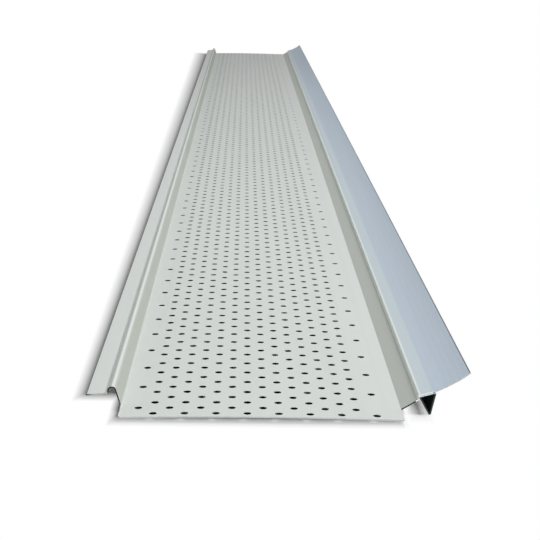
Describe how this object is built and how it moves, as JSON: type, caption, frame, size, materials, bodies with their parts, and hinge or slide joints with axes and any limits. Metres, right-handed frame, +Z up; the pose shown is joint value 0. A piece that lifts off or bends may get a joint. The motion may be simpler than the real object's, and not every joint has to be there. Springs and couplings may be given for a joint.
{
  "type": "perforated gutter guard panel",
  "caption": "Long perforated gutter guard pan of pale painted aluminium, with a front lip flange and rib, low side walls, a V fold under the back crease and a rising back flange.",
  "frame": {"origin": "under the middle of the panel, at the height of its lowest point, the tip of the V fold", "axes": "+Y along the panel, away from the end whose floor laps past the walls; +X across it, towards the back flange; +Z up, out of the side that faces the sky"},
  "size_m": [0.1376, 1.524, 0.0163],
  "materials": {
    "painted_sheet": "satin"
  },
  "bodies": {
    "root": {"near_stretch": "painted_sheet", "middle_stretch": "painted_sheet", "far_stretch": "painted_sheet"}
  },
  "joints": []
}
